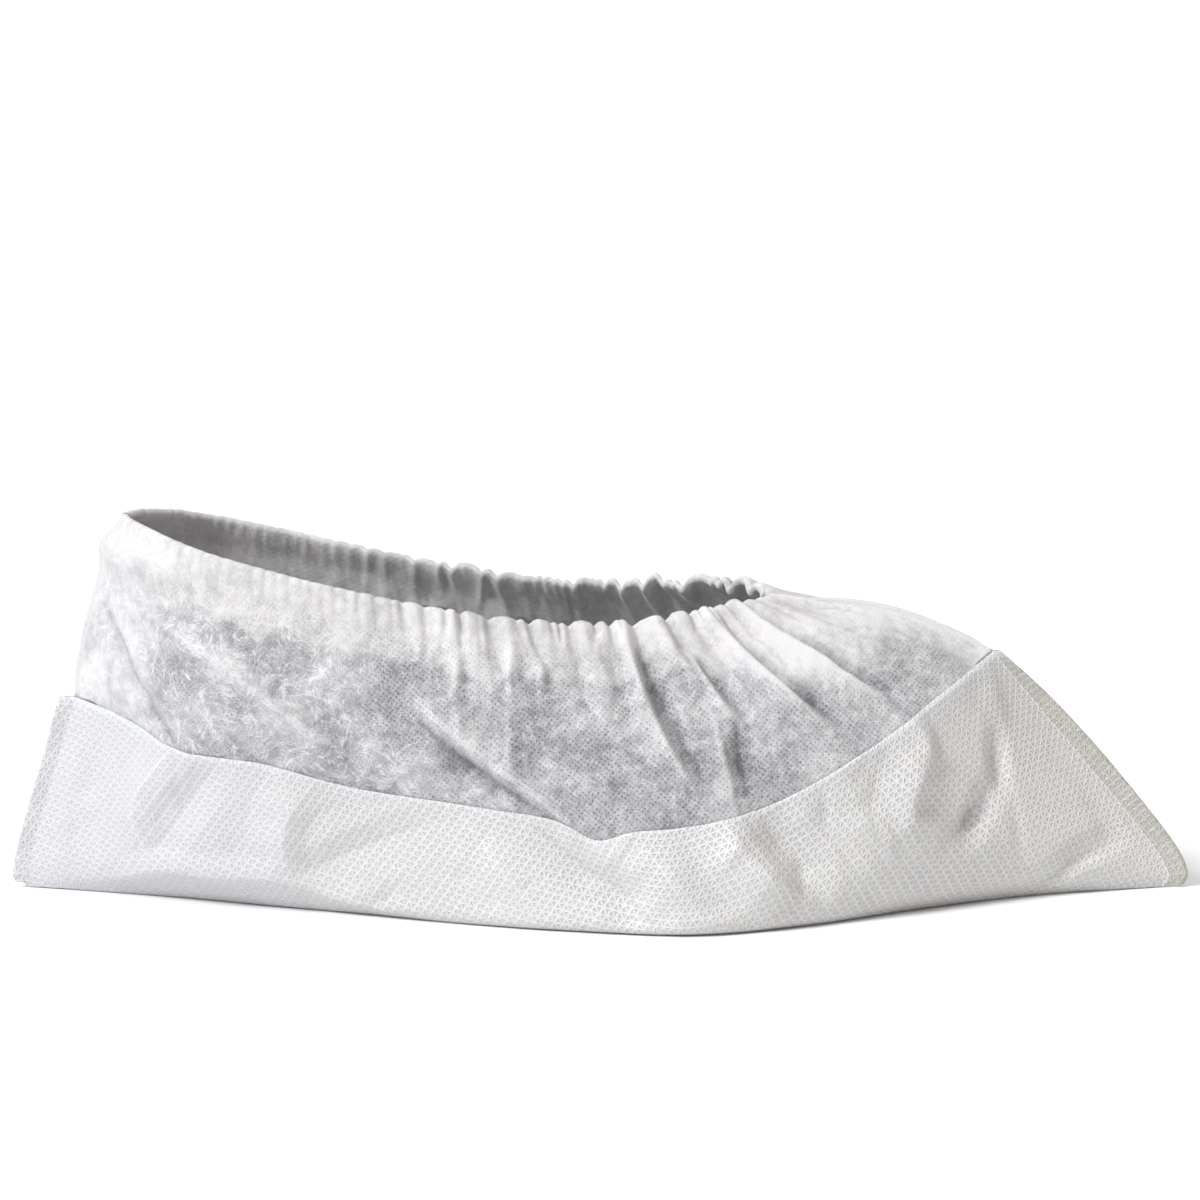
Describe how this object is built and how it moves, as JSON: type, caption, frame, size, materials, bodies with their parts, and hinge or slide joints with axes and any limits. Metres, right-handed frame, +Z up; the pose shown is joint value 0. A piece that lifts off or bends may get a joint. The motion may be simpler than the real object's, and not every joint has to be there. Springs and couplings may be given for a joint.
{
  "type": "disposable overshoe",
  "caption": "Disposable overshoe of thin nonwoven cloth: laminated boat-shaped sole sheet, gathered elastic mouth, open inside for a shoe or boot.",
  "frame": {"origin": "on the floor, at the centre of the footprint's bounding box", "axes": "+X towards the toe, +Z up, -Y towards the right side of the foot"},
  "size_m": [0.3528, 0.1257, 0.1145],
  "materials": {
    "laminate": "embossed, slightly glossy laminate",
    "nonwoven": "matt, thin and translucent",
    "elastic": "matt"
  },
  "bodies": {
    "root": {"sole_cover": "laminate", "upper_right": "nonwoven", "upper_left": "nonwoven", "elastic_thread": "elastic"}
  },
  "joints": []
}
